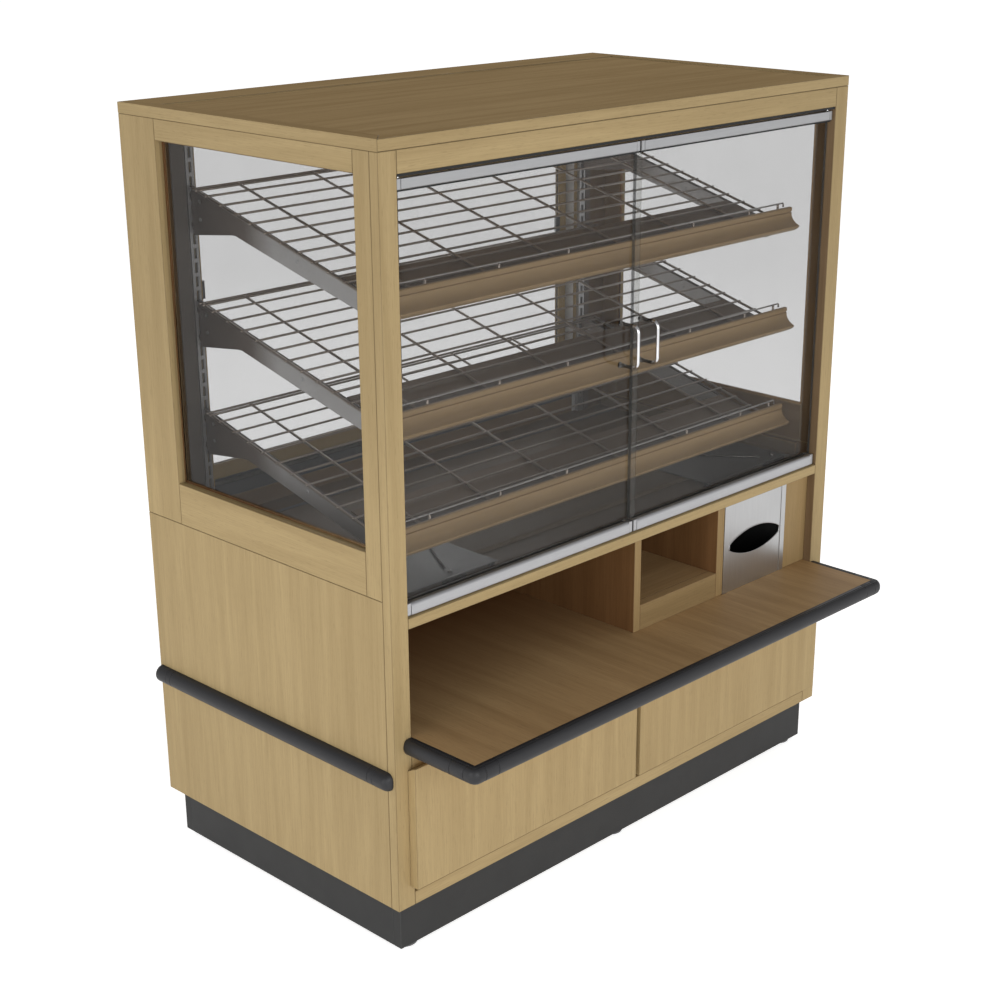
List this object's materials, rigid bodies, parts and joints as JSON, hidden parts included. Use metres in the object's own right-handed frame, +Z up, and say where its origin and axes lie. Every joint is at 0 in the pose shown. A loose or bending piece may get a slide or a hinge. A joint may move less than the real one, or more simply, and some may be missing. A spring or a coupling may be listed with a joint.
{
  "type": "bakery display case",
  "caption": "Free-standing wooden bakery case: glazed display with sloping wire shelves and glass doors, rear sliding doors, bumper-edged counter, wrap dispenser and drawers.",
  "frame": {"origin": "on the floor under the middle of the whole outline, bumpers and counter included", "axes": "+X to the customer's right along the front, +Y from the customer's side to the rear, +Z up"},
  "size_m": [1.2574, 0.8394, 1.4224],
  "materials": {
    "oak": "clear satin over light oak",
    "oak_dark": "satin oak laminate",
    "ply": "unfinished birch plywood",
    "laminate": "black laminate",
    "rubber": "smooth black",
    "zinc": "grey zinc plate",
    "steel": "brushed",
    "shelf_plate": "grey-brown powder coat",
    "wire": "dark nickel wire",
    "aluminium": "satin anodised",
    "chrome": "polished",
    "glass": "clear toughened",
    "smoke": "smoked translucent"
  },
  "bodies": {
    "case": {"back_panel": "oak", "bottom_panel": "oak", "centre_partition": "oak", "counter_bumper": "rubber", "counter_top": "oak_dark", "cubby_box": "oak_dark", "deck_plate_left": "smoke", "deck_plate_right": "smoke", "dispenser": "steel", "display_deck": "oak_dark", "face_frame": "oak", "filler_panel": "oak", "kick_base": "laminate", "price_moulding_1": "oak", "price_moulding_2": "oak", "price_moulding_3": "oak", "rear_frame": "oak_dark", "shelf_bracket_left_1": "shelf_plate", "shelf_bracket_left_2": "shelf_plate", "shelf_bracket_left_3": "shelf_plate", "shelf_bracket_right_1": "shelf_plate", "shelf_bracket_right_2": "shelf_plate", "shelf_bracket_right_3": "shelf_plate", "shelf_grid_1": "wire", "shelf_grid_2": "wire", "shelf_grid_3": "wire", "side_bumper_left": "rubber", "side_bumper_right": "rubber", "side_frame_left": "oak", "side_frame_right": "oak", "side_glass_left": "glass", "side_glass_right": "glass", "side_panel_left": "oak", "side_panel_right": "oak", "standard_left": "zinc", "standard_right": "zinc", "top_panel": "oak", "top_rim": "oak"},
    "door_left": {"door_glass_left": "glass", "door_rail_bottom_left": "aluminium", "door_rail_top_left": "aluminium", "door_handle_left": "chrome"},
    "door_right": {"door_glass_right": "glass", "door_rail_bottom_right": "aluminium", "door_rail_top_right": "aluminium", "door_handle_right": "chrome"},
    "drawer_left": {"drawer_front_left": "oak", "drawer_box_left": "ply"},
    "drawer_right": {"drawer_front_right": "oak", "drawer_box_right": "ply"},
    "rear_door_left": {"rear_door_frame_left": "oak", "rear_door_glass_left": "glass"},
    "rear_door_right": {"rear_door_frame_right": "oak", "rear_door_glass_right": "glass"},
    "foot_1": {"leveller_1": "zinc"},
    "foot_2": {"leveller_2": "zinc"},
    "foot_3": {"leveller_3": "zinc"},
    "foot_4": {"leveller_4": "zinc"},
    "foot_5": {"leveller_5": "zinc"},
    "foot_6": {"leveller_6": "zinc"}
  },
  "joints": [
    {"name": "door_left_hinge", "type": "hinge", "parent": "case", "child": "door_left", "pos_m": [-0.55956, -0.23609, 0.64135], "axis": [0, 0, 1], "range_deg": [-100, 0]},
    {"name": "door_right_hinge", "type": "hinge", "parent": "case", "child": "door_right", "pos_m": [0.55956, -0.23609, 0.64135], "axis": [0, 0, 1], "range_deg": [0, 100]},
    {"name": "drawer_left_slide", "type": "slide", "parent": "case", "child": "drawer_left", "axis": [0, -1, 0], "range_m": [0, 0.36]},
    {"name": "drawer_right_slide", "type": "slide", "parent": "case", "child": "drawer_right", "axis": [0, -1, 0], "range_m": [0, 0.36]},
    {"name": "rear_door_left_slide", "type": "slide", "parent": "case", "child": "rear_door_left", "axis": [1, 0, 0], "range_m": [0, 0.45]},
    {"name": "rear_door_right_slide", "type": "slide", "parent": "case", "child": "rear_door_right", "axis": [-1, 0, 0], "range_m": [0, 0.45]},
    {"name": "foot_1_screw", "type": "slide", "parent": "case", "child": "foot_1", "axis": [0, 0, 1], "range_m": [-0.0127, 0]},
    {"name": "foot_2_screw", "type": "slide", "parent": "case", "child": "foot_2", "axis": [0, 0, 1], "range_m": [-0.0127, 0]},
    {"name": "foot_3_screw", "type": "slide", "parent": "case", "child": "foot_3", "axis": [0, 0, 1], "range_m": [-0.0127, 0]},
    {"name": "foot_4_screw", "type": "slide", "parent": "case", "child": "foot_4", "axis": [0, 0, 1], "range_m": [-0.0127, 0]},
    {"name": "foot_5_screw", "type": "slide", "parent": "case", "child": "foot_5", "axis": [0, 0, 1], "range_m": [-0.0127, 0]},
    {"name": "foot_6_screw", "type": "slide", "parent": "case", "child": "foot_6", "axis": [0, 0, 1], "range_m": [-0.0127, 0]}
  ]
}
